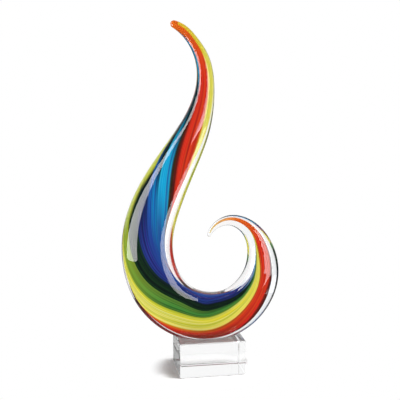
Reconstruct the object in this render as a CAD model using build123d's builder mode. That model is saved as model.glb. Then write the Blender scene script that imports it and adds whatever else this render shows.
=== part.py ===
"""Glass wave sculpture: a curled bar of cased glass with a twisted bundle of coloured rods, glued on a block.

Sizes are in millimetres and angles in degrees. The origin is the centre of the block's underside, +Z is up
and the wave is seen from -Y. All pieces are modelled where they sit.
"""

import os
from math import cos, degrees, radians, sin

from build123d import *

# Block the wave stands on
BASE_WIDTH = 60.0
BASE_DEPTH = 48.0
BASE_HEIGHT = 31.4
BASE_BEVEL = 0.8

# Glue film between the block and the flat ground under the wave
BOND_THICKNESS = 0.2

# Clear bar: front-to-back depth over width, and the angles where sections round off each tip
DEPTH_RATIO = 0.84
TIP_ANGLES = (25.0, 50.0, 75.0)

# Bundle of coloured rods: clearance round each rod, the station numbers where the bundle starts and ends,
# and those where the red rod, which runs on alone past the others, starts and ends
ROD_CLEARANCE = 0.05
BUNDLE_STATIONS = (0.5, 15.2)
RED_STATIONS = (0.12, 17.6)

# Angle that each rod takes up in the round bundle, in order, at the stations below; together they fill the turn
SPAN_STATIONS = (3.0, 7.0, 9.0, 11.0, 12.5, 15.2)
ROD_ANGLES = {
    "red_rod": (80.0, 66.0, 80.0, 70.0, 52.0, 150.0),
    "yellow_rod": (78.0, 70.0, 74.0, 44.0, 34.0, 30.0),
    "green_rod": (80.0, 42.0, 42.0, 20.0, 10.0, 12.0),
    "black_rod": (66.0, 42.0, 42.0, 24.0, 18.0, 14.0),
    "indigo_rod": (12.0, 36.0, 32.0, 40.0, 45.0, 24.0),
    "blue_rod": (14.0, 36.0, 28.0, 54.0, 78.0, 44.0),
    "cyan_rod": (18.0, 46.0, 36.0, 68.0, 88.0, 62.0),
    "brown_rod": (12.0, 22.0, 26.0, 40.0, 35.0, 24.0),
}
FULL_TURN = 360.0

# Sections drawn for each station below
SECTIONS_PER_STATION = 4

# Stations from the neck tip down through the bowl and up round the hook:
# centre x, centre height above the ground flat, width, bundle width over bar width, turn of the bundle,
# and how far the bundle sits towards the outside of the curl, over half the bar's width
STATIONS = [
    (-34.0, 281.5, 5.5, 0.76, 16.0, 0.0),
    (-23.5, 276.0, 8.5, 0.76, 16.0, 0.0),
    (-13.5, 265.0, 10.0, 0.74, 16.0, 0.0),
    (-5.0, 247.0, 13.5, 0.70, 18.0, 0.0),
    (-4.0, 221.0, 18.0, 0.68, 24.0, 0.03),
    (-12.5, 190.5, 27.0, 0.66, 37.0, 0.08),
    (-29.5, 158.5, 36.0, 0.65, 78.0, 0.12),
    (-47.0, 124.0, 43.0, 0.64, 141.0, 0.13),
    (-56.0, 88.0, 45.5, 0.63, 187.0, 0.11),
    (-50.0, 52.5, 47.0, 0.63, 237.0, 0.06),
    (-30.5, 27.5, 47.0, 0.65, 300.0, 0.0),
    (-1.5, 17.0, 46.0, 0.66, 330.0, 0.0),
    (28.0, 24.5, 41.5, 0.61, 357.0, 0.0),
    (47.0, 47.5, 35.5, 0.46, 377.0, 0.03),
    (49.5, 74.5, 26.5, 0.36, 408.0, 0.05),
    (39.0, 97.0, 16.5, 0.25, 430.0, 0.15),
    (20.0, 106.5, 9.5, 0.22, 435.0, 0.22),
    (5.0, 100.5, 5.5, 0.20, 435.0, 0.20),
    (0.0, 92.0, 3.0, 0.20, 435.0, 0.0),
]

SEAT = BASE_HEIGHT + BOND_THICKNESS
LAST = len(STATIONS) - 1


def curve_bends(values):
    """Return the second derivatives of the smooth curve through evenly numbered values."""
    bends = [0.0] * len(values)
    ratios = [0.0] * len(values)
    for i in range(1, len(values) - 1):
        pivot = 4.0 - ratios[i - 1]
        ratios[i] = 1.0 / pivot
        bends[i] = (6.0 * (values[i + 1] - 2.0 * values[i] + values[i - 1]) - bends[i - 1]) / pivot
    for i in range(len(values) - 2, 0, -1):
        bends[i] -= ratios[i] * bends[i + 1]
    return bends


COLUMNS = list(zip(*STATIONS))
BENDS = [curve_bends(column) for column in COLUMNS]


def value_at(column, station):
    """Return a column's value at any station number, whole or between."""
    values = COLUMNS[column]
    bends = BENDS[column]
    i = min(int(station), LAST - 1)
    after = station - i
    before = 1.0 - after
    straight = before * values[i] + after * values[i + 1]
    return straight + ((before**3 - before) * bends[i] + (after**3 - after) * bends[i + 1]) / 6.0


def slope_at(column, station):
    """Return how fast a column changes per station."""
    values = COLUMNS[column]
    bends = BENDS[column]
    i = min(int(station), LAST - 1)
    after = station - i
    before = 1.0 - after
    bend = (3.0 * after**2 - 1.0) * bends[i + 1] - (3.0 * before**2 - 1.0) * bends[i]
    return values[i + 1] - values[i] + bend / 6.0


def run_at(station):
    """Return the bar's travel per station."""
    return Vector(slope_at(0, station), 0.0, slope_at(1, station))


def section_plane(station, outward=0.0):
    """Return the plane across the bar: its X points to the inside of the curl and its Y to the front."""
    run = run_at(station)
    inside = Vector(-run.Z, 0.0, run.X).normalized()
    centre = Vector(value_at(0, station), 0.0, SEAT + value_at(1, station))
    return Plane(origin=centre - inside * outward, x_dir=inside, z_dir=run)


def bar_radius(station):
    """Return half the bar's width."""
    return value_at(2, station) / 2.0


def bundle_radius(station):
    """Return half the bundle's width."""
    return bar_radius(station) * value_at(3, station)


def bundle_plane(station):
    """Return the plane across the bundle."""
    return section_plane(station, bar_radius(station) * value_at(5, station))


def rod_edges(station):
    """Return the angles where the rods start, from the front towards the inside, and where the last one ends."""
    upper = min(max(sum(station > key for key in SPAN_STATIONS), 1), len(SPAN_STATIONS) - 1)
    low, high = SPAN_STATIONS[upper - 1 : upper + 1]
    share = min(max((station - low) / (high - low), 0.0), 1.0)
    share *= share * (3.0 - 2.0 * share)
    angles = [row[upper - 1] + (row[upper] - row[upper - 1]) * share for row in ROD_ANGLES.values()]
    edges = [value_at(4, station) - angles[0] * FULL_TURN / sum(angles)]
    for angle in angles:
        edges.append(edges[-1] + angle * FULL_TURN / sum(angles))
    return edges


def tip_sections(end_station):
    """Return the stations and width shares that round off one end of the bar."""
    inward = 1.0 if end_station == 0 else -1.0
    dome = inward * bar_radius(end_station) / run_at(end_station).length
    return [(end_station + dome * (1.0 - cos(radians(a))), sin(radians(a))) for a in TIP_ANGLES]


def oval_section(plane, radius):
    """Return the oval on a plane across the bar, drawn as a front and a back half."""
    with BuildSketch(plane) as oval:
        with BuildLine():
            EllipticalCenterArc((0, 0), radius, radius * DEPTH_RATIO, 0, arc_size=FULL_TURN / 2)
            EllipticalCenterArc((0, 0), radius, radius * DEPTH_RATIO, FULL_TURN / 2, arc_size=FULL_TURN / 2)
        make_face()
    return oval.sketch


def rod_section(station, order):
    """Return the wedge across the bundle that one rod fills, with clearance on all its sides."""
    start_edge, end_edge = rod_edges(station)[order : order + 2]
    span = end_edge - start_edge
    radius = bundle_radius(station) - ROD_CLEARANCE
    depth = radius * DEPTH_RATIO
    inset = degrees(ROD_CLEARANCE / radius)
    first = FULL_TURN / 4 - end_edge + inset
    last = FULL_TURN / 4 - start_edge - inset
    middle = radians((first + last) / 2)
    reach = ROD_CLEARANCE / sin(radians(span / 2))
    apex = (reach * cos(middle), reach * sin(middle))
    start = (radius * cos(radians(first)), depth * sin(radians(first)))
    end = (radius * cos(radians(last)), depth * sin(radians(last)))
    with BuildSketch(bundle_plane(station)) as wedge:
        with BuildLine():
            Line(apex, start)
            EllipticalCenterArc((0, 0), radius, depth, first, arc_size=last - first)
            Line(end, apex)
        make_face()
    return wedge.sketch


def steps_between(first, last):
    """Return the stations where sections are drawn, from one station to another."""
    steps = [i / SECTIONS_PER_STATION for i in range(SECTIONS_PER_STATION * LAST)]
    return [first] + [step for step in steps if first < step < last] + [last]


neck_tip = tip_sections(0)
hook_tip = tip_sections(LAST)
between_tips = [(step, 1.0) for step in steps_between(neck_tip[-1][0], hook_tip[-1][0])[1:-1]]
bar_sections = neck_tip + between_tips + hook_tip[::-1]
bundle_start, bundle_end = BUNDLE_STATIONS
red_start, red_end = RED_STATIONS
start_gap = ROD_CLEARANCE / run_at(bundle_start).length
end_gap = ROD_CLEARANCE / run_at(bundle_end).length

# Block
with BuildPart() as base_block:
    Box(BASE_WIDTH, BASE_DEPTH, BASE_HEIGHT, align=(Align.CENTER, Align.CENTER, Align.MIN))
    chamfer(base_block.edges(), BASE_BEVEL)

# Space that the bundle takes up inside the clear glass
with BuildPart() as bundle_space:
    for station in steps_between(red_start, red_end):
        add(oval_section(bundle_plane(station), bundle_radius(station)))
    loft()

# Clear casing: the bar with its tips rounded, ground flat underneath, and hollow for the bundle
with BuildPart() as clear_casing:
    for station, share in bar_sections:
        add(oval_section(section_plane(station), bar_radius(station) * share))
    loft()
    split(bisect_by=Plane.XY.offset(SEAT))
    add(bundle_space.part, mode=Mode.SUBTRACT)

# Glue film, the shape of the ground flat
with BuildPart() as base_bond:
    add(clear_casing.faces().sort_by(Axis.Z)[0])
    extrude(amount=BOND_THICKNESS, dir=(0, 0, -1))

# Red rod where it runs on alone, at the neck tip and at the hook
red_ends = []
for first, last in ((red_start + start_gap, bundle_start), (bundle_end, red_end - end_gap)):
    with BuildPart() as red_end_part:
        for station in steps_between(first, last):
            add(oval_section(bundle_plane(station), bundle_radius(station) - ROD_CLEARANCE))
        loft()
    red_ends.append(red_end_part.part)

# Coloured rods: wedges of the bundle that wind together along the bar
rods = {}
for order, name in enumerate(ROD_ANGLES):
    with BuildPart() as rod:
        if name == "red_rod":
            stations = steps_between(bundle_start, bundle_end)
        else:
            stations = steps_between(bundle_start + start_gap, bundle_end - end_gap)
        for station in stations:
            add(rod_section(station, order))
        loft()
        if name == "red_rod":
            add(red_ends)
    rods[name] = rod

os.makedirs("parts", exist_ok=True)
base_block.part.label = "base_block"
export_step(base_block.part, "parts/base_block.step")
base_bond.part.label = "base_bond"
export_step(base_bond.part, "parts/base_bond.step")
clear_casing.part.label = "clear_casing"
export_step(clear_casing.part, "parts/clear_casing.step")
for name, rod in rods.items():
    rod.part.label = name
    export_step(rod.part, f"parts/{name}.step")
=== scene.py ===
"""Glass wave sculpture: a curled clear bar with a twisted bundle of coloured strands, on a clear block."""

from math import cos, pi, radians, sin

import bmesh
import bpy
from mathutils import Matrix, Vector


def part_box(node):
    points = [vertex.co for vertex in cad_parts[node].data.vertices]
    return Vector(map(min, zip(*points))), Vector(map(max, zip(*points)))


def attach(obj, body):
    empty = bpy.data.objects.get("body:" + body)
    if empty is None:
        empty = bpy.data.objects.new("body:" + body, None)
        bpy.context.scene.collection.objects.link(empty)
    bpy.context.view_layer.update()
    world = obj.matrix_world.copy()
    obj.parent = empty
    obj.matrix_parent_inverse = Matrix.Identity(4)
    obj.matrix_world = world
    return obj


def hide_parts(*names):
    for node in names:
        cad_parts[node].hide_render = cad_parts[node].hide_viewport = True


bl_info = {
    "name": "Glass Wave Sculpture",
    "version": (1, 0, 0),
    "blender": (4, 5, 0),
    "location": "View3D > Sidebar > Glass Wave",
    "description": "Dresses the glass wave: clear bar, twisted colour strands, block and a white studio",
    "category": "Object",
}

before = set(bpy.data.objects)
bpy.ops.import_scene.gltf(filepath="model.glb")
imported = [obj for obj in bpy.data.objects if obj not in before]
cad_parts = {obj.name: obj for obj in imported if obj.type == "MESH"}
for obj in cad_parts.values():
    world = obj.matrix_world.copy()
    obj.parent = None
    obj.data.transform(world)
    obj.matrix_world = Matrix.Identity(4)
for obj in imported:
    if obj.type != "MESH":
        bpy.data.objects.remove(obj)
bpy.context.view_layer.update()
block_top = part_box("base_block")[1][2]
seat_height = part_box("base_bond")[1][2]

MM = 0.001
FULL_TURN = 360.0

# Stations from the neck tip down through the bowl and up round the hook, in millimetres and degrees:
# centre x, centre height above the ground flat, width, bundle width over bar width, turn of the bundle,
# and how far the bundle sits towards the outside of the curl, over half the bar's width
STATIONS = [
    (-34.0, 281.5, 5.5, 0.76, 16.0, 0.0),
    (-23.5, 276.0, 8.5, 0.76, 16.0, 0.0),
    (-13.5, 265.0, 10.0, 0.74, 16.0, 0.0),
    (-5.0, 247.0, 13.5, 0.70, 18.0, 0.0),
    (-4.0, 221.0, 18.0, 0.68, 24.0, 0.03),
    (-12.5, 190.5, 27.0, 0.66, 37.0, 0.08),
    (-29.5, 158.5, 36.0, 0.65, 78.0, 0.12),
    (-47.0, 124.0, 43.0, 0.64, 141.0, 0.13),
    (-56.0, 88.0, 45.5, 0.63, 187.0, 0.11),
    (-50.0, 52.5, 47.0, 0.63, 237.0, 0.06),
    (-30.5, 27.5, 47.0, 0.65, 300.0, 0.0),
    (-1.5, 17.0, 46.0, 0.66, 330.0, 0.0),
    (28.0, 24.5, 41.5, 0.61, 357.0, 0.0),
    (47.0, 47.5, 35.5, 0.46, 377.0, 0.03),
    (49.5, 74.5, 26.5, 0.36, 408.0, 0.05),
    (39.0, 97.0, 16.5, 0.25, 430.0, 0.15),
    (20.0, 106.5, 9.5, 0.22, 435.0, 0.22),
    (5.0, 100.5, 5.5, 0.20, 435.0, 0.20),
    (0.0, 92.0, 3.0, 0.20, 435.0, 0.0),
]
LAST = len(STATIONS) - 1

# Angles at which rings round off each tip of the bar, in degrees
TIP_ANGLES = range(10, 90, 10)

# Strands in order round the bundle, with the angle that each takes up at the stations below, in degrees
SPAN_STATIONS = (3.0, 7.0, 9.0, 11.0, 12.5, 15.2)
STRAND_SPANS = {
    "red": (80.0, 66.0, 80.0, 70.0, 52.0, 150.0),
    "yellow": (78.0, 70.0, 74.0, 44.0, 34.0, 30.0),
    "green": (80.0, 42.0, 42.0, 20.0, 10.0, 12.0),
    "black": (66.0, 42.0, 42.0, 24.0, 18.0, 14.0),
    "indigo": (12.0, 36.0, 32.0, 40.0, 45.0, 24.0),
    "blue": (14.0, 36.0, 28.0, 54.0, 78.0, 44.0),
    "cyan": (18.0, 46.0, 36.0, 68.0, 88.0, 62.0),
    "brown": (12.0, 22.0, 26.0, 40.0, 35.0, 24.0),
}
STRANDS = list(STRAND_SPANS)

# Faces of the red strand where it runs on alone
THREAD_RINGS = 16
THREAD_SIDES = 32

# Places across a strand run from 0 to 1 on its outside: the mark for the bundle's axis, and the place given
# to the red strand where it runs on alone
ON_AXIS = -1.0
ALONE = 0.5

# Angle from which an edge between faces is sharp, and how near to a cut a point counts as on it, in metres
SHARP_ANGLE = radians(40.0)
CUT_TOLERANCE = 1e-7

# Streaks of pulled glass: how often they change along the bar, then for each kind how many there are to one
# of the strand's own count, and the noise levels between which they come in
STREAK_CHANGES = 4.2
STREAK_KINDS = (("Fine Streaks", 2.6, 0.44, 0.64), ("Broad Streaks", 1.1, 0.40, 0.62))
STREAK_STRENGTH = 0.75
STREAK_DETAIL = 2.0
SEED_STEP = 3.7

# How often the edges of a strand's colours wander along the bar, and how far over the strand's width
WANDER_CHANGES = 6.5
WANDER_WIDTH = 0.12

# Matt surfaces
STRAND_ROUGHNESS = 0.5
FLOOR_ROUGHNESS = 0.8

# How far a strand has turned to its other colours, and where it turns to them in the drawn-out hook, along
# the bar from the neck tip at 0 to the hook's tip at 1
NOT_FADED = (0.0, 0.0, 0.0)
MOSTLY_FADED = (0.75, 0.75, 0.75)
FADED = (0.97, 0.97, 0.97)
HOOK_FADE = [(0.80, NOT_FADED), (0.89, FADED)]

# Clear pieces: tint, and the height and size of the slight waves in the surface, in metres
CASING_GLASS = ((0.995, 0.998, 0.997), 0.00002, 0.03)
BLOCK_GLASS = ((0.970, 0.973, 0.974), 0.000004, 0.02)
CLEAR_GLUE = ((0.97, 0.98, 0.98), 0.000003, 0.004)
GLASS_IOR = 1.5
SOFT_DETAIL = 1.0

# Floor, in metres: how far it reaches, how far it lies under the block, and the distances from the block's
# centre between which it fades to white
FLOOR_REACH = 3.0
FLOOR_DROP = 0.00005
FLOOR_FADE = (0.035, 0.055)

# Floor's grey where the shadow falls, its brightness as the glass mirrors it, and how much is added to its
# white where it lights the strands
FLOOR_GREY = 0.80
FLOOR_MIRRORED = 0.1
FLOOR_BOUNCE = 0.4

# Glowing cards that the glass mirrors: corners in metres, and share of the strip light
LEFT_CARD = ((-0.329, -0.307, 0.01), (-0.447, 0.055, 0.01), (-0.400, -0.090, 0.65), (-0.364, -0.198, 0.65))
HOOK_CARD = ((0.058, -0.060, 0.091), (0.260, -0.145, 0.079), (0.260, -0.145, 0.220), (0.058, -0.060, 0.149))
BOWL_CARD = ((0.100, -0.145, 0.062), (0.100, -0.036, 0.085), (0.100, -0.036, 0.210), (0.100, -0.080, 0.210))
HOOK_CARD_SHARE = 0.8
BOWL_CARD_SHARE = 0.7

# Soft boxes that the glass mirrors: place, aim and size in metres, share of the strip light, and spread in
# degrees
TABLE_BOX = ((0.330, -0.050, 0.004), (0.330, -0.050, 1.0), (0.28, 0.20))
TABLE_BOX_SHARE = 0.35
NECK_BOX = ((0.140, -0.242, 0.310), (0.0, 0.0, 0.310), (0.17, 0.15))
NECK_BOX_SHARE = 0.08
NECK_BOX_SPREAD = 45.0
WIDEST_SPREAD = 180.0

# Soft light above, which throws the shadow: place and side in metres
KEY_PLACE = (0.40, -0.16, 1.05)
KEY_SIDE = 0.25

# Surroundings: how dim the glass mirrors them in front and at the sides, over which range of the direction's
# Y they grow white, how dim they are through the glass at the sides, and over which range of its X
MIRRORED_DIM = 0.10
MIRRORED_RANGE = (0.2, 0.9)
SIDES_DIM = 0.8
SIDES_RANGE = (0.70, 0.97)

# Shares of the ambient light that fall on the strands from the level and from above, and on the floor
LEVEL_SHARE = 1.25
ABOVE_SHARE = 1.7
FLOOR_SHARE = 0.35

# Camera, a little left of the front and a little above: degrees, metres, and millimetres for lens and sensor
CAMERA_AZIMUTH = -9.9
CAMERA_ELEVATION = 7.3
CAMERA_TARGET = (-0.008, 0.0, 0.1573)
CAMERA_DISTANCE = 0.626
CAMERA_CLIP = 0.01
CAMERA_LENS = 62.46
SENSOR_WIDTH = 36.0


def number_setting(name, description, default, low, high):
    """Return a number property with a plain name."""
    return bpy.props.FloatProperty(name=name, description=description, default=default, min=low, max=high)


def count_setting(name, description, default, low, high):
    """Return a whole number property with a plain name."""
    return bpy.props.IntProperty(name=name, description=description, default=default, min=low, max=high)


def colour_setting(name, description, default):
    """Return a colour property with a plain name."""
    return bpy.props.FloatVectorProperty(
        name=name, description=description, subtype="COLOR", size=3, min=0.0, max=1.0, default=default
    )


class WaveSizes(bpy.types.PropertyGroup):
    """Sizes of the bar and its bundle."""

    depth_ratio: number_setting("Depth Ratio", "Depth of the bar over its width", 0.84, 0.5, 1.2)
    thread_start: number_setting("Thread Start", "Station where the red strand starts", 0.12, 0.05, 0.4)
    bundle_start: number_setting("Bundle Start", "Station where the other strands start", 0.5, 0.4, 2.0)
    bundle_end: number_setting("Bundle End", "Station where the other strands end", 15.2, 12.0, 16.0)
    thread_end: number_setting("Thread End", "Station where the red strand ends", 17.6, 16.0, 17.8)
    film_gap: bpy.props.FloatProperty(
        name="Film Gap",
        description="Room left above and below the glue film, so that no two faces coincide",
        subtype="DISTANCE",
        default=0.00003,
        min=0.0,
        max=0.0001,
        precision=6,
    )
    sides: count_setting("Sides", "Faces round the clear bar", 128, 16, 256)
    strand_sides: count_setting("Strand Sides", "Faces across the outside of each strand", 16, 6, 64)
    rings: count_setting("Rings", "Rings of faces for each station", 10, 2, 24)


class WaveColours(bpy.types.PropertyGroup):
    """Main colour of each strand."""

    red: colour_setting("Red", "Red strand", (0.80, 0.022, 0.016))
    yellow: colour_setting("Yellow", "Yellow strand", (0.90, 0.81, 0.03))
    green: colour_setting("Green", "Green strand", (0.065, 0.31, 0.050))
    black: colour_setting("Black", "Dark strand", (0.003, 0.012, 0.009))
    indigo: colour_setting("Indigo", "Indigo strand", (0.035, 0.030, 0.27))
    blue: colour_setting("Blue", "Cobalt strand", (0.012, 0.11, 0.50))
    cyan: colour_setting("Cyan", "Light blue strand", (0.006, 0.43, 0.80))
    brown: colour_setting("Brown", "Dark brown strand", (0.035, 0.012, 0.008))
    orange: colour_setting("Orange", "Orange of the drawn-out tips", (0.85, 0.19, 0.015))


class WaveStudio(bpy.types.PropertyGroup):
    """Light of the white studio."""

    ambient: number_setting("Ambient", "Even light from all round", 0.85, 0.0, 2.0)
    strip_light: bpy.props.FloatProperty(
        name="Strip Light",
        description="Brightness of the cards and boxes that the glass mirrors",
        default=8.0,
        min=0.0,
    )
    key_power: bpy.props.FloatProperty(
        name="Key Power", description="Power of the soft light above", subtype="POWER", default=17.0, min=0.0
    )


def curve_bends(values):
    """Return the second derivatives of the smooth curve through evenly numbered values."""
    bends = [0.0] * len(values)
    ratios = [0.0] * len(values)
    for i in range(1, len(values) - 1):
        pivot = 4.0 - ratios[i - 1]
        ratios[i] = 1.0 / pivot
        bends[i] = (6.0 * (values[i + 1] - 2.0 * values[i] + values[i - 1]) - bends[i - 1]) / pivot
    for i in range(len(values) - 2, 0, -1):
        bends[i] -= ratios[i] * bends[i + 1]
    return bends


COLUMNS = list(zip(*STATIONS))
BENDS = [curve_bends(column) for column in COLUMNS]


def value_at(column, station):
    """Return a column's value at any station number, whole or between."""
    values = COLUMNS[column]
    bends = BENDS[column]
    i = min(int(station), LAST - 1)
    after = station - i
    before = 1.0 - after
    straight = before * values[i] + after * values[i + 1]
    return straight + ((before**3 - before) * bends[i] + (after**3 - after) * bends[i + 1]) / 6.0


def slope_at(column, station):
    """Return how fast a column changes per station."""
    values = COLUMNS[column]
    bends = BENDS[column]
    i = min(int(station), LAST - 1)
    after = station - i
    before = 1.0 - after
    bend = (3.0 * after**2 - 1.0) * bends[i + 1] - (3.0 * before**2 - 1.0) * bends[i]
    return values[i + 1] - values[i] + bend / 6.0


def run_at(station):
    """Return the bar's direction and its length per station, in metres."""
    run = Vector((slope_at(0, station), 0.0, slope_at(1, station))) * MM
    return run.normalized(), run.length


def bar_radius(station):
    """Return half the bar's width in metres."""
    return value_at(2, station) * MM / 2.0


def section_matrix(station, radius, outward=0.0):
    """Return the matrix that lays a unit circle across the bar, X inwards in the curl and Y to the front."""
    centre = Vector((value_at(0, station) * MM, 0.0, seat_height + value_at(1, station) * MM))
    run = run_at(station)[0]
    inside = Vector((-run.z, 0.0, run.x))
    front = run.cross(inside)
    axes = Matrix((inside, front, run)).transposed().to_4x4()
    place = Matrix.Translation(centre - inside * outward) @ axes
    depth = radius * bpy.context.scene.wave_sizes.depth_ratio
    return place @ Matrix.Diagonal((radius, depth, 1.0, 1.0))


def bundle_section(station):
    """Return the matrix that lays a unit circle across the bundle of strands."""
    radius = bar_radius(station)
    return section_matrix(station, radius * value_at(3, station), radius * value_at(5, station))


def strand_edges(station):
    """Return the angles between the strands, from the front towards the inside of the curl."""
    upper = min(max(sum(station > key for key in SPAN_STATIONS), 1), len(SPAN_STATIONS) - 1)
    low, high = SPAN_STATIONS[upper - 1 : upper + 1]
    share = min(max((station - low) / (high - low), 0.0), 1.0)
    share *= share * (3.0 - 2.0 * share)
    spans = [row[upper - 1] + (row[upper] - row[upper - 1]) * share for row in STRAND_SPANS.values()]
    edges = [value_at(4, station) - spans[0] * FULL_TURN / sum(spans)]
    for span in spans:
        edges.append(edges[-1] + span * FULL_TURN / sum(spans))
    return edges


def tip_sections(end_station):
    """Return the sections that round off one end of the bar, from its tip inwards, and where they end."""
    inward = 1.0 if end_station == 0 else -1.0
    dome = inward * bar_radius(end_station) / run_at(end_station)[1]
    sections = []
    for angle in TIP_ANGLES:
        station = end_station + dome * (1.0 - cos(radians(angle)))
        sections.append(section_matrix(station, bar_radius(station) * sin(radians(angle))))
    return sections, end_station + dome


def ring_of(drawn):
    """Return the edges and points of the ring that an extrusion has just drawn."""
    edges = [part for part in drawn if isinstance(part, bmesh.types.BMEdge) and len(part.link_faces) == 1]
    verts = [part for part in drawn if isinstance(part, bmesh.types.BMVert)]
    return edges, verts


def draw_tube(mesh, sides, sections):
    """Draw a closed tube through the sections, and return the points of each ring."""
    circle = bmesh.ops.create_circle(mesh, segments=sides, radius=1.0, matrix=sections[0])
    rings = [circle["verts"]]
    first_edges = list(dict.fromkeys(edge for vert in circle["verts"] for edge in vert.link_edges))
    edges = first_edges
    for before, after in zip(sections, sections[1:]):
        edges, verts = ring_of(bmesh.ops.extrude_edge_only(mesh, edges=edges)["geom"])
        bmesh.ops.transform(mesh, matrix=after @ before.inverted(), verts=verts)
        rings.append(verts)
    bmesh.ops.contextual_create(mesh, geom=first_edges)
    bmesh.ops.contextual_create(mesh, geom=edges)
    return rings


def bar_mesh():
    """Return a bmesh of the whole bar, closed and rounded at both tips and not yet ground flat."""
    sizes = bpy.context.scene.wave_sizes
    neck_sections, first = tip_sections(0)
    hook_sections, last = tip_sections(LAST)
    count = sizes.rings * LAST
    stations = [first + (last - first) * i / count for i in range(count + 1)]
    middle = [section_matrix(station, bar_radius(station)) for station in stations]
    sections = neck_sections + middle + hook_sections[::-1]
    mesh = bmesh.new()
    draw_tube(mesh, sizes.sides, sections)
    bmesh.ops.recalc_face_normals(mesh, faces=mesh.faces)
    return mesh


def cut_level(mesh, height, keep_above):
    """Cut a closed bmesh at a height, keep one side and close the cut with a flat face."""
    cut = bmesh.ops.bisect_plane(
        mesh,
        geom=list(mesh.verts) + list(mesh.edges) + list(mesh.faces),
        dist=CUT_TOLERANCE,
        plane_co=(0.0, 0.0, height),
        plane_no=(0.0, 0.0, 1.0),
        clear_inner=keep_above,
        clear_outer=not keep_above,
    )
    rim = [part for part in cut["geom_cut"] if isinstance(part, bmesh.types.BMEdge)]
    for edge in rim:
        edge.smooth = False
    bmesh.ops.contextual_create(mesh, geom=rim)


def finish_piece(mesh, name, material, nodes):
    """Turn a bmesh into a piece that stands for CAD nodes and rides with the part."""
    data = bpy.data.meshes.new(name)
    mesh.to_mesh(data)
    mesh.free()
    data.materials.append(material)
    piece = bpy.data.objects.new(name, data)
    bpy.context.scene.collection.objects.link(piece)
    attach(piece, "root")
    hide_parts(*nodes)


def new_material(name):
    """Return a new material and its surface shader."""
    material = bpy.data.materials.new(name)
    material.use_nodes = True
    return material, material.node_tree.nodes["Principled BSDF"]


def add_node(tree, kind, **settings):
    """Add a node and set its properties."""
    node = tree.nodes.new(kind)
    for key, value in settings.items():
        setattr(node, key, value)
    return node


def feed(tree, socket, value):
    """Link an input to an output, or set it to a number or a colour."""
    if isinstance(value, bpy.types.NodeSocket):
        tree.links.new(value, socket)
    elif socket.type == "RGBA":
        socket.default_value = (*value, 1.0)
    else:
        socket.default_value = value


def math_node(tree, operation, first, second):
    """Add a Math node; each side is an output or a number. Return its output."""
    node = add_node(tree, "ShaderNodeMath", operation=operation)
    feed(tree, node.inputs[0], first)
    feed(tree, node.inputs[1], second)
    return node.outputs[0]


def map_range(tree, value, ends, low=0.0, high=1.0, kind="SMOOTHSTEP"):
    """Add a Map Range node that takes a value between two ends to low and high. Return its output."""
    node = add_node(tree, "ShaderNodeMapRange", interpolation_type=kind)
    start, end = ends
    for name, number in (("From Min", start), ("From Max", end), ("To Min", low), ("To Max", high)):
        node.inputs[name].default_value = number
    tree.links.new(value, node.inputs["Value"])
    return node.outputs["Result"]


def mix_levels(tree, factor, low, high):
    """Add a Mix node for numbers; each side is an output or a number. Return its output."""
    node = add_node(tree, "ShaderNodeMix", data_type="FLOAT")
    tree.links.new(factor, node.inputs["Factor"])
    feed(tree, node.inputs["A"], low)
    feed(tree, node.inputs["B"], high)
    return node.outputs["Result"]


def mix_colours(tree, factor, first, second):
    """Add a Mix node for colours; each side is an output or a colour. Return its output."""
    node = add_node(tree, "ShaderNodeMix", data_type="RGBA")
    tree.links.new(factor, node.inputs["Factor"])
    first_input, second_input = [socket for socket in node.inputs if socket.type == "RGBA"]
    feed(tree, first_input, first)
    feed(tree, second_input, second)
    return next(socket for socket in node.outputs if socket.type == "RGBA")


def ramp_colours(tree, place, stops):
    """Add a Color Ramp with the given stops. Return its output."""
    node = add_node(tree, "ShaderNodeValToRGB")
    elements = node.color_ramp.elements
    while len(elements) < len(stops):
        elements.new(0.5)
    for element, (position, colour) in zip(elements, stops):
        element.position = position
        element.color = (*colour, 1.0)
    tree.links.new(place, node.inputs["Fac"])
    return node.outputs["Color"]


def noise_at(tree, place, scale, detail):
    """Add a Noise Texture. Return its level at a place."""
    node = add_node(tree, "ShaderNodeTexNoise")
    node.inputs["Scale"].default_value = scale
    node.inputs["Detail"].default_value = detail
    tree.links.new(place, node.inputs["Vector"])
    return node.outputs["Fac"]


def lights_surface(tree, path):
    """Return 1 for rays that have left a matt surface and bring light to it, and 0 for others."""
    return math_node(tree, "GREATER_THAN", path.outputs["Diffuse Depth"], 0.5)


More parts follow.
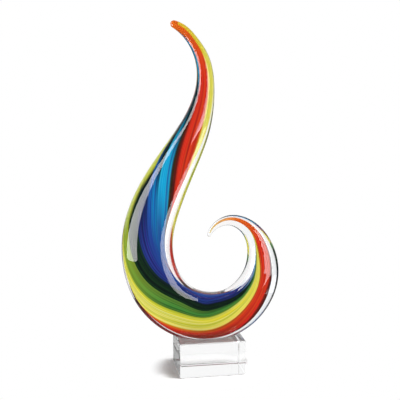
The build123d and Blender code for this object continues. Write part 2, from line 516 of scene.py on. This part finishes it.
def streak_group():
    """Return the shared node group that draws streaks along a strand of pulled glass."""
    group = bpy.data.node_groups.get("Pulled Glass Streaks")
    if group:
        return group
    group = bpy.data.node_groups.new("Pulled Glass Streaks", "ShaderNodeTree")
    for name in ("Along", "Across", "Count", "Seed"):
        group.interface.new_socket(name, in_out="INPUT", socket_type="NodeSocketFloat")
    for name in ("Fine Streaks", "Broad Streaks", "Wander"):
        group.interface.new_socket(name, in_out="OUTPUT", socket_type="NodeSocketFloat")
    entry = add_node(group, "NodeGroupInput")
    result = add_node(group, "NodeGroupOutput")
    along = math_node(group, "MULTIPLY", entry.outputs["Along"], STREAK_CHANGES)
    for name, share, low, high in STREAK_KINDS:
        across = math_node(group, "MULTIPLY", entry.outputs["Across"], entry.outputs["Count"])
        place = add_node(group, "ShaderNodeCombineXYZ")
        group.links.new(along, place.inputs["X"])
        group.links.new(math_node(group, "MULTIPLY", across, share), place.inputs["Y"])
        group.links.new(math_node(group, "ADD", entry.outputs["Seed"], share), place.inputs["Z"])
        level = noise_at(group, place.outputs["Vector"], 1.0, STREAK_DETAIL)
        group.links.new(map_range(group, level, (low, high)), result.inputs[name])
    place = add_node(group, "ShaderNodeCombineXYZ")
    group.links.new(math_node(group, "MULTIPLY", entry.outputs["Along"], WANDER_CHANGES), place.inputs["X"])
    group.links.new(entry.outputs["Seed"], place.inputs["Z"])
    level = noise_at(group, place.outputs["Vector"], 1.0, SOFT_DETAIL)
    group.links.new(math_node(group, "SUBTRACT", level, 0.5), result.inputs["Wander"])
    return group


def blend(first, second, share):
    """Return the colour between two colours."""
    return tuple(a + (b - a) * share for a, b in zip(first, second))


def strand_looks():
    """Return each strand's look.

    It has the strand's colours across its width, the colours of its dark and light streaks and their count,
    the other colours that it turns to along the bar, how far it has turned to them there, and by how much
    earlier along the bar that happens at the strand's far side.
    """
    colours = bpy.context.scene.wave_colours
    glass = {name: tuple(getattr(colours, name)) for name in STRANDS + ["orange"]}
    burnt_black = blend(glass["black"], glass["orange"], 0.6)
    red_brown = blend(glass["brown"], glass["red"], 0.3)
    bright_lime = blend(glass["yellow"], glass["green"], 0.15)
    lime = blend(glass["yellow"], glass["green"], 0.35)
    deep_blue = blend(glass["indigo"], glass["blue"], 0.4)
    pale_orange = (0.95, 0.80, 0.30)
    pale_yellow = (1.0, 0.95, 0.40)
    pale_blue = (0.25, 0.50, 0.80)
    bright_cyan = (0.05, 0.70, 0.90)
    return {
        "red": {
            "across": [
                (0.0, blend(glass["red"], glass["brown"], 0.4)),
                (0.10, glass["red"]),
                (0.80, glass["red"]),
                (0.93, glass["orange"]),
                (1.0, blend(glass["orange"], glass["yellow"], 0.5)),
            ],
            "dark": blend(glass["red"], glass["brown"], 0.6),
            "light": blend(glass["red"], glass["orange"], 0.35),
            "count": 9.0,
            "turns_to": [(0.0, glass["orange"]), (0.87, glass["orange"]), (0.97, pale_orange)],
            "fades": [(0.0, FADED), (0.20, NOT_FADED)] + HOOK_FADE,
            "slant": 0.0,
        },
        "yellow": {
            "across": [
                (0.0, blend(glass["orange"], glass["yellow"], 0.55)),
                (0.08, glass["yellow"]),
                (0.88, glass["yellow"]),
                (0.96, blend(glass["yellow"], glass["green"], 0.3)),
                (1.0, blend(glass["yellow"], glass["green"], 0.75)),
            ],
            "dark": blend(glass["yellow"], glass["green"], 0.42),
            "light": blend(glass["yellow"], pale_yellow, 0.9),
            "count": 7.0,
            "turns_to": [(0.0, blend(glass["yellow"], glass["orange"], 0.45)), (1.0, glass["yellow"])],
            "fades": [(0.0, FADED), (0.15, NOT_FADED)] + HOOK_FADE,
            "slant": 0.0,
        },
        "green": {
            "across": [
                (0.0, blend(glass["yellow"], glass["green"], 0.8)),
                (0.10, glass["green"]),
                (0.45, glass["green"]),
                (0.80, blend(glass["green"], glass["black"], 0.7)),
                (1.0, blend(glass["green"], glass["black"], 0.92)),
            ],
            "dark": blend(glass["green"], glass["black"], 0.7),
            "light": blend(glass["green"], glass["yellow"], 0.12),
            "count": 5.0,
            "turns_to": [
                (0.0, blend(glass["green"], glass["orange"], 0.6)),
                (0.2, bright_lime),
                (0.7, glass["green"]),
            ],
            "fades": [(0.40, FADED), (0.54, NOT_FADED)] + HOOK_FADE,
            "slant": 0.0,
        },
        "black": {
            "across": [
                (0.0, blend(glass["black"], glass["green"], 0.08)),
                (0.25, glass["black"]),
                (0.75, glass["black"]),
                (1.0, blend(glass["black"], glass["indigo"], 0.35)),
            ],
            "dark": glass["black"],
            "light": blend(glass["black"], glass["green"], 0.12),
            "count": 4.0,
            "turns_to": [
                (0.0, burnt_black),
                (0.1, glass["black"]),
                (0.28, glass["black"]),
                (0.30, lime),
                (0.43, lime),
                (0.45, glass["black"]),
                (0.6, glass["black"]),
                (0.66, pale_blue),
            ],
            "fades": [
                (0.0, FADED),
                (0.15, NOT_FADED),
                (0.30, NOT_FADED),
                (0.33, FADED),
                (0.405, FADED),
                (0.425, NOT_FADED),
                (0.73, NOT_FADED),
                (0.77, FADED),
            ],
            "slant": 0.047,
        },
        "indigo": {
            "across": [
                (0.0, blend(glass["black"], glass["indigo"], 0.45)),
                (0.25, glass["indigo"]),
                (0.75, glass["indigo"]),
                (1.0, blend(glass["indigo"], glass["blue"], 0.5)),
            ],
            "dark": blend(glass["indigo"], glass["black"], 0.8),
            "light": blend(glass["indigo"], glass["blue"], 0.7),
            "count": 5.0,
            "turns_to": [
                (0.0, burnt_black),
                (0.1, glass["black"]),
                (0.31, glass["black"]),
                (0.33, lime),
                (0.37, lime),
                (0.38, glass["black"]),
                (0.42, glass["black"]),
                (0.6, glass["indigo"]),
            ],
            "fades": [(0.39, FADED), (0.47, NOT_FADED)] + HOOK_FADE,
            "slant": 0.027,
        },
        "blue": {
            "across": [
                (0.0, blend(glass["indigo"], glass["blue"], 0.5)),
                (0.3, glass["blue"]),
                (0.7, blend(glass["blue"], glass["cyan"], 0.2)),
                (1.0, blend(glass["blue"], glass["cyan"], 0.7)),
            ],
            "dark": blend(glass["indigo"], glass["black"], 0.5),
            "light": blend(glass["blue"], glass["cyan"], 0.8),
            "count": 6.0,
            "turns_to": [
                (0.0, burnt_black),
                (0.1, glass["black"]),
                (0.35, glass["black"]),
                (0.37, deep_blue),
                (0.66, deep_blue),
                (0.70, glass["blue"]),
            ],
            "fades": [
                (0.31, FADED),
                (0.35, NOT_FADED),
                (0.37, NOT_FADED),
                (0.43, MOSTLY_FADED),
                (0.66, MOSTLY_FADED),
                (0.70, NOT_FADED),
            ]
            + HOOK_FADE,
            "slant": -0.04,
        },
        "cyan": {
            "across": [
                (0.0, blend(glass["blue"], glass["cyan"], 0.7)),
                (0.15, glass["cyan"]),
                (0.8, glass["cyan"]),
                (0.93, blend(glass["cyan"], glass["brown"], 0.5)),
                (1.0, glass["brown"]),
            ],
            "dark": blend(glass["blue"], glass["indigo"], 0.4),
            "light": blend(glass["cyan"], bright_cyan, 0.8),
            "count": 7.0,
            "turns_to": [
                (0.03, glass["orange"]),
                (0.07, glass["cyan"]),
                (0.16, glass["cyan"]),
                (0.19, glass["black"]),
                (0.31, glass["black"]),
                (0.34, deep_blue),
                (0.46, deep_blue),
                (0.49, red_brown),
                (0.66, red_brown),
                (0.73, glass["cyan"]),
            ],
            "fades": [
                (0.25, FADED),
                (0.31, NOT_FADED),
                (0.355, NOT_FADED),
                (0.41, MOSTLY_FADED),
                (0.50, FADED),
                (0.64, FADED),
                (0.68, NOT_FADED),
            ]
            + HOOK_FADE,
            "slant": -0.04,
        },
        "brown": {
            "across": [
                (0.0, blend(glass["brown"], glass["green"], 0.2)),
                (0.4, glass["brown"]),
                (1.0, blend(glass["brown"], glass["red"], 0.5)),
            ],
            "dark": blend(glass["brown"], glass["black"], 0.6),
            "light": blend(glass["brown"], glass["red"], 0.15),
            "count": 4.0,
            "turns_to": [(0.0, blend(glass["brown"], glass["orange"], 0.6)), (0.5, glass["brown"])],
            "fades": [(0.0, FADED), (0.15, NOT_FADED)] + HOOK_FADE,
            "slant": 0.0,
        },
    }


def strand_material(name, look, seed):
    """Return the streaky opaque glass of one strand, which follows its own along and across values."""
    material, shader = new_material(f"{name} strand glass")
    tree = material.node_tree
    along = add_node(tree, "ShaderNodeAttribute", attribute_name="along").outputs["Fac"]
    across = add_node(tree, "ShaderNodeAttribute", attribute_name="across").outputs["Fac"]
    streaks = add_node(tree, "ShaderNodeGroup", node_tree=streak_group())
    feed(tree, streaks.inputs["Along"], along)
    feed(tree, streaks.inputs["Across"], across)
    feed(tree, streaks.inputs["Count"], look["count"])
    feed(tree, streaks.inputs["Seed"], seed)
    wander = math_node(tree, "MULTIPLY", streaks.outputs["Wander"], WANDER_WIDTH)
    across_place = math_node(tree, "ADD", across, wander)
    dark = math_node(tree, "MULTIPLY", streaks.outputs["Broad Streaks"], STREAK_STRENGTH)
    light = math_node(tree, "MULTIPLY", streaks.outputs["Fine Streaks"], STREAK_STRENGTH)
    colour = mix_colours(tree, dark, ramp_colours(tree, across_place, look["across"]), look["dark"])
    colour = mix_colours(tree, light, colour, look["light"])
    along_place = math_node(tree, "ADD", along, math_node(tree, "MULTIPLY", across, look["slant"]))
    other_colour = ramp_colours(tree, along_place, look["turns_to"])
    faded = ramp_colours(tree, along_place, look["fades"])
    feed(tree, shader.inputs["Base Color"], mix_colours(tree, faded, colour, other_colour))
    shader.inputs["Roughness"].default_value = STRAND_ROUGHNESS
    shader.inputs["Specular IOR Level"].default_value = 0.0
    return material


def clear_material(name, tint, wave_height, wave_size):
    """Return clear glass whose surface is very slightly wavy."""
    material, shader = new_material(name)
    tree = material.node_tree
    place = add_node(tree, "ShaderNodeTexCoord")
    bump = add_node(tree, "ShaderNodeBump")
    bump.inputs["Strength"].default_value = 1.0
    bump.inputs["Distance"].default_value = wave_height
    waves = noise_at(tree, place.outputs["Object"], 1.0 / wave_size, SOFT_DETAIL)
    tree.links.new(waves, bump.inputs["Height"])
    tree.links.new(bump.outputs["Normal"], shader.inputs["Normal"])
    feed(tree, shader.inputs["Base Color"], tint)
    shader.inputs["Roughness"].default_value = 0.0
    shader.inputs["IOR"].default_value = GLASS_IOR
    shader.inputs["Transmission Weight"].default_value = 1.0
    return material


class WaveCasing(bpy.types.Operator):
    """Draw the clear outer glass of the bar and grind its underside flat"""

    bl_idname = "wave.casing"
    bl_label = "Clear Casing"

    def execute(self, context):
        mesh = bar_mesh()
        for face in mesh.faces:
            face.smooth = True
        cut_level(mesh, seat_height + context.scene.wave_sizes.film_gap, keep_above=True)
        material = clear_material("Clear casing glass", *CASING_GLASS)
        finish_piece(mesh, "casing", material, ["clear_casing"])
        return {"FINISHED"}


class WaveStrands(bpy.types.Operator):
    """Draw the coloured strands, each a wedge of the bundle that winds along the bar"""

    bl_idname = "wave.strands"
    bl_label = "Colour Strands"

    def execute(self, context):
        sizes = context.scene.wave_sizes
        looks = strand_looks()
        for order, name in enumerate(STRANDS):
            mesh = bmesh.new()
            along = mesh.verts.layers.float.new("along")
            across = mesh.verts.layers.float.new("across")
            self.draw_wedge(mesh, along, across, order)
            if name == "red":
                self.draw_thread(mesh, along, across, sizes.thread_start, sizes.bundle_start)
                self.draw_thread(mesh, along, across, sizes.bundle_end, sizes.thread_end)
            bmesh.ops.recalc_face_normals(mesh, faces=mesh.faces)
            for face in mesh.faces:
                face.smooth = True
            for edge in mesh.edges:
                if edge.calc_face_angle(0.0) > SHARP_ANGLE:
                    edge.smooth = False
            material = strand_material(name.capitalize(), looks[name], SEED_STEP * order)
            finish_piece(mesh, f"{name}_strand", material, [f"{name}_rod"])
        return {"FINISHED"}

    def draw_wedge(self, mesh, along, across, order):
        """Draw one strand as a wedge of the bundle that winds along it."""
        sizes = bpy.context.scene.wave_sizes
        count = sizes.rings * LAST
        step = (sizes.bundle_end - sizes.bundle_start) / count
        pieces = sizes.strand_sides
        verts = [mesh.verts.new() for i in range(pieces + 2)]
        first_edges = [mesh.edges.new(pair) for pair in zip(verts, verts[1:] + verts[:1])]
        for i, vert in enumerate(verts):
            vert[across] = i / pieces
        verts[-1][across] = ON_AXIS
        edges = first_edges
        for i in range(count + 1):
            station = sizes.bundle_start + step * i
            if i > 0:
                edges, verts = ring_of(bmesh.ops.extrude_edge_only(mesh, edges=edges)["geom"])
            section = bundle_section(station)
            start, end = strand_edges(station)[order : order + 2]
            for vert in verts:
                angle = radians(start + (end - start) * vert[across])
                on_rim = vert[across] != ON_AXIS
                vert.co = section @ Vector((sin(angle), cos(angle), 0.0)) if on_rim else section.translation
                vert[along] = station / LAST
        bmesh.ops.contextual_create(mesh, geom=first_edges)
        bmesh.ops.contextual_create(mesh, geom=edges)

    def draw_thread(self, mesh, along, across, start, end):
        """Draw the red strand where it runs on alone and fills the bundle's whole width."""
        stations = [start + (end - start) * i / THREAD_RINGS for i in range(THREAD_RINGS + 1)]
        drawn = draw_tube(mesh, THREAD_SIDES, [bundle_section(station) for station in stations])
        for station, ring in zip(stations, drawn):
            for vert in ring:
                vert[along] = station / LAST
                vert[across] = ALONE


class WaveBlock(bpy.types.Operator):
    """Finish the clear block and lay the glue film on it"""

    bl_idname = "wave.block"
    bl_label = "Block and Glue Film"

    def execute(self, context):
        gap = context.scene.wave_sizes.film_gap
        block = bpy.data.objects["base_block"]
        block.material_slots[0].link = "OBJECT"
        block.material_slots[0].material = clear_material("Polished block glass", *BLOCK_GLASS)
        mesh = bar_mesh()
        cut_level(mesh, block_top + gap, keep_above=True)
        cut_level(mesh, seat_height - gap, keep_above=False)
        bmesh.ops.recalc_face_normals(mesh, faces=mesh.faces)
        material = clear_material("Clear glue", *CLEAR_GLUE)
        finish_piece(mesh, "glue_film", material, ["base_bond"])
        return {"FINISHED"}


class WaveStage(bpy.types.Operator):
    """Set up the pale floor, the soft lights, the white surroundings and the camera"""

    bl_idname = "wave.stage"
    bl_label = "White Studio"

    def execute(self, context):
        self.floor(context)
        self.lights(context)
        self.world(context)
        self.camera(context)
        context.scene.view_settings.view_transform = "Standard"
        return {"FINISHED"}

    def floor(self, context):
        """Lay a pale floor that fades to white away from the part."""
        mesh = bmesh.new()
        bmesh.ops.create_grid(mesh, x_segments=1, y_segments=1, size=FLOOR_REACH)
        bmesh.ops.translate(mesh, verts=mesh.verts, vec=(0.0, 0.0, -FLOOR_DROP))
        data = bpy.data.meshes.new("floor")
        mesh.to_mesh(data)
        mesh.free()
        data.materials.append(self.floor_material())
        floor = bpy.data.objects.new("floor", data)
        context.scene.collection.objects.link(floor)

    def floor_material(self):
        """Return the floor's material: grey under the shadow, white further out and dim in the glass."""
        material, shader = new_material("White floor")
        tree = material.node_tree
        feed(tree, shader.inputs["Base Color"], (FLOOR_GREY, FLOOR_GREY, FLOOR_GREY))
        shader.inputs["Roughness"].default_value = FLOOR_ROUGHNESS
        shader.inputs["Specular IOR Level"].default_value = 0.0
        place = add_node(tree, "ShaderNodeTexCoord")
        distance = add_node(tree, "ShaderNodeVectorMath", operation="LENGTH")
        tree.links.new(place.outputs["Object"], distance.inputs[0])
        fade = map_range(tree, distance.outputs["Value"], FLOOR_FADE)
        path = add_node(tree, "ShaderNodeLightPath")
        through = path.outputs["Is Transmission Ray"]
        seen = math_node(tree, "MAXIMUM", path.outputs["Is Camera Ray"], through)
        white = add_node(tree, "ShaderNodeEmission")
        bounce = math_node(tree, "MULTIPLY", lights_surface(tree, path), FLOOR_BOUNCE)
        feed(tree, white.inputs["Strength"], math_node(tree, "ADD", bounce, 1.0))
        faded = add_node(tree, "ShaderNodeMixShader")
        feed(tree, faded.inputs["Fac"], math_node(tree, "MULTIPLY", fade, seen))
        tree.links.new(shader.outputs["BSDF"], faded.inputs[1])
        tree.links.new(white.outputs["Emission"], faded.inputs[2])
        dim = add_node(tree, "ShaderNodeEmission")
        dim.inputs["Strength"].default_value = FLOOR_MIRRORED
        only_mirrored = math_node(tree, "SUBTRACT", path.outputs["Is Glossy Ray"], through)
        mirrored = add_node(tree, "ShaderNodeMixShader")
        feed(tree, mirrored.inputs["Fac"], only_mirrored)
        tree.links.new(faded.outputs["Shader"], mirrored.inputs[1])
        tree.links.new(dim.outputs["Emission"], mirrored.inputs[2])
        tree.links.new(mirrored.outputs["Shader"], tree.nodes["Material Output"].inputs["Surface"])
        return material

    def soft_box(self, context, name, box, radiance, spread):
        """Hang one rectangular light at its place, facing its aim."""
        place, aim, size = box
        data = bpy.data.lights.new(name, "AREA")
        data.shape = "RECTANGLE"
        data.size, data.size_y = size
        data.spread = radians(spread)
        data.energy = radiance * pi * data.size * data.size_y
        light = bpy.data.objects.new(name, data)
        light.location = place
        light.rotation_euler = (Vector(place) - Vector(aim)).to_track_quat("Z", "Y").to_euler()
        context.scene.collection.objects.link(light)
        return light

    def light_card(self, context, name, corners, radiance):
        """Stand one glowing card in the studio by its corners."""
        mesh = bmesh.new()
        bmesh.ops.contextual_create(mesh, geom=[mesh.verts.new(corner) for corner in corners])
        data = bpy.data.meshes.new(name)
        mesh.to_mesh(data)
        mesh.free()
        material, shader = new_material(name)
        shader.inputs["Base Color"].default_value = (0.0, 0.0, 0.0, 1.0)
        shader.inputs["Emission Color"].default_value = (1.0, 1.0, 1.0, 1.0)
        shader.inputs["Emission Strength"].default_value = radiance
        data.materials.append(material)
        card = bpy.data.objects.new(name, data)
        card.visible_shadow = False
        context.scene.collection.objects.link(card)
        return card

    def lights(self, context):
        """Hang the cards and boxes that the glass mirrors, and the soft light above."""
        studio = context.scene.wave_studio
        bright = studio.strip_light
        strips = [
            self.light_card(context, "left_card", LEFT_CARD, bright),
            self.soft_box(context, "right table", TABLE_BOX, bright * TABLE_BOX_SHARE, WIDEST_SPREAD),
            self.soft_box(context, "neck strip", NECK_BOX, bright * NECK_BOX_SHARE, NECK_BOX_SPREAD),
            self.light_card(context, "hook_card", HOOK_CARD, bright * HOOK_CARD_SHARE),
            self.light_card(context, "bowl_card", BOWL_CARD, bright * BOWL_CARD_SHARE),
        ]
        for strip in strips:
            strip.visible_camera = False
            strip.visible_diffuse = False
            strip.visible_transmission = False
        data = bpy.data.lights.new("soft light above", "AREA")
        data.size = KEY_SIDE
        data.energy = studio.key_power
        light = bpy.data.objects.new("soft light above", data)
        light.location = KEY_PLACE
        light.rotation_euler = Vector(KEY_PLACE).to_track_quat("Z", "Y").to_euler()
        light.visible_glossy = False
        light.visible_transmission = False
        context.scene.collection.objects.link(light)

    def world(self, context):
        """Surround the part with white, dim in front and at the sides where the glass mirrors the room."""
        world = bpy.data.worlds.new("White studio")
        context.scene.world = world
        world.use_nodes = True
        tree = world.node_tree
        background = tree.nodes["Background"]
        background.inputs["Color"].default_value = (1.0, 1.0, 1.0, 1.0)
        place = add_node(tree, "ShaderNodeTexCoord")
        direction = add_node(tree, "ShaderNodeSeparateXYZ")
        tree.links.new(place.outputs["Generated"], direction.inputs["Vector"])
        path = add_node(tree, "ShaderNodeLightPath")
        through = path.outputs["Is Transmission Ray"]
        ambient = context.scene.wave_studio.ambient
        in_mirror = map_range(tree, direction.outputs["Y"], MIRRORED_RANGE, low=MIRRORED_DIM)
        level = mix_levels(tree, path.outputs["Is Glossy Ray"], ambient, in_mirror)
        sideways = math_node(tree, "ABSOLUTE", direction.outputs["X"], 0.0)
        level = mix_levels(tree, through, level, map_range(tree, sideways, SIDES_RANGE, 1.0, SIDES_DIM))
        on_strands = map_range(
            tree, direction.outputs["Z"], (0.0, 1.0), ambient * LEVEL_SHARE, ambient * ABOVE_SHARE, "LINEAR"
        )
        on_surface = mix_levels(tree, through, ambient * FLOOR_SHARE, on_strands)
        level = mix_levels(tree, lights_surface(tree, path), level, on_surface)
        level = mix_levels(tree, path.outputs["Is Camera Ray"], level, 1.0)
        tree.links.new(level, background.inputs["Strength"])

    def camera(self, context):
        """Place the camera at the photograph's angle."""
        azimuth = radians(CAMERA_AZIMUTH)
        elevation = radians(CAMERA_ELEVATION)
        back = Vector((sin(azimuth) * cos(elevation), -cos(azimuth) * cos(elevation), sin(elevation)))
        data = bpy.data.cameras.new("camera")
        data.sensor_width = SENSOR_WIDTH
        data.lens = CAMERA_LENS
        data.clip_start = CAMERA_CLIP
        camera = bpy.data.objects.new("camera", data)
        camera.location = Vector(CAMERA_TARGET) + back * CAMERA_DISTANCE
        camera.rotation_euler = back.to_track_quat("Z", "Y").to_euler()
        context.scene.collection.objects.link(camera)
        context.scene.camera = camera


class WavePanel(bpy.types.Panel):
    """List the steps that dress the glass wave"""

    bl_idname = "VIEW3D_PT_glass_wave"
    bl_label = "Glass Wave"
    bl_space_type = "VIEW_3D"
    bl_region_type = "UI"
    bl_category = "Glass Wave"

    def draw(self, context):
        for settings in (context.scene.wave_sizes, context.scene.wave_colours, context.scene.wave_studio):
            box = self.layout.box()
            for key in settings.__annotations__:
                box.prop(settings, key)
        for operator in OPERATORS:
            self.layout.operator(operator.bl_idname)


SETTINGS = {"wave_sizes": WaveSizes, "wave_colours": WaveColours, "wave_studio": WaveStudio}
OPERATORS = (WaveCasing, WaveStrands, WaveBlock, WaveStage)


def register():
    """Register the classes and hang the settings on the scene."""
    for settings in SETTINGS.values():
        bpy.utils.register_class(settings)
    for name, settings in SETTINGS.items():
        setattr(bpy.types.Scene, name, bpy.props.PointerProperty(type=settings))
    for operator in OPERATORS:
        bpy.utils.register_class(operator)
    bpy.utils.register_class(WavePanel)


def unregister():
    """Take the classes and settings off again."""
    bpy.utils.unregister_class(WavePanel)
    for operator in reversed(OPERATORS):
        bpy.utils.unregister_class(operator)
    for name, settings in SETTINGS.items():
        delattr(bpy.types.Scene, name)
        bpy.utils.unregister_class(settings)


def main():
    """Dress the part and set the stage."""
    register()
    bpy.ops.wave.casing()
    bpy.ops.wave.strands()
    bpy.ops.wave.block()
    bpy.ops.wave.stage()


if __name__ == "__main__":
    main()
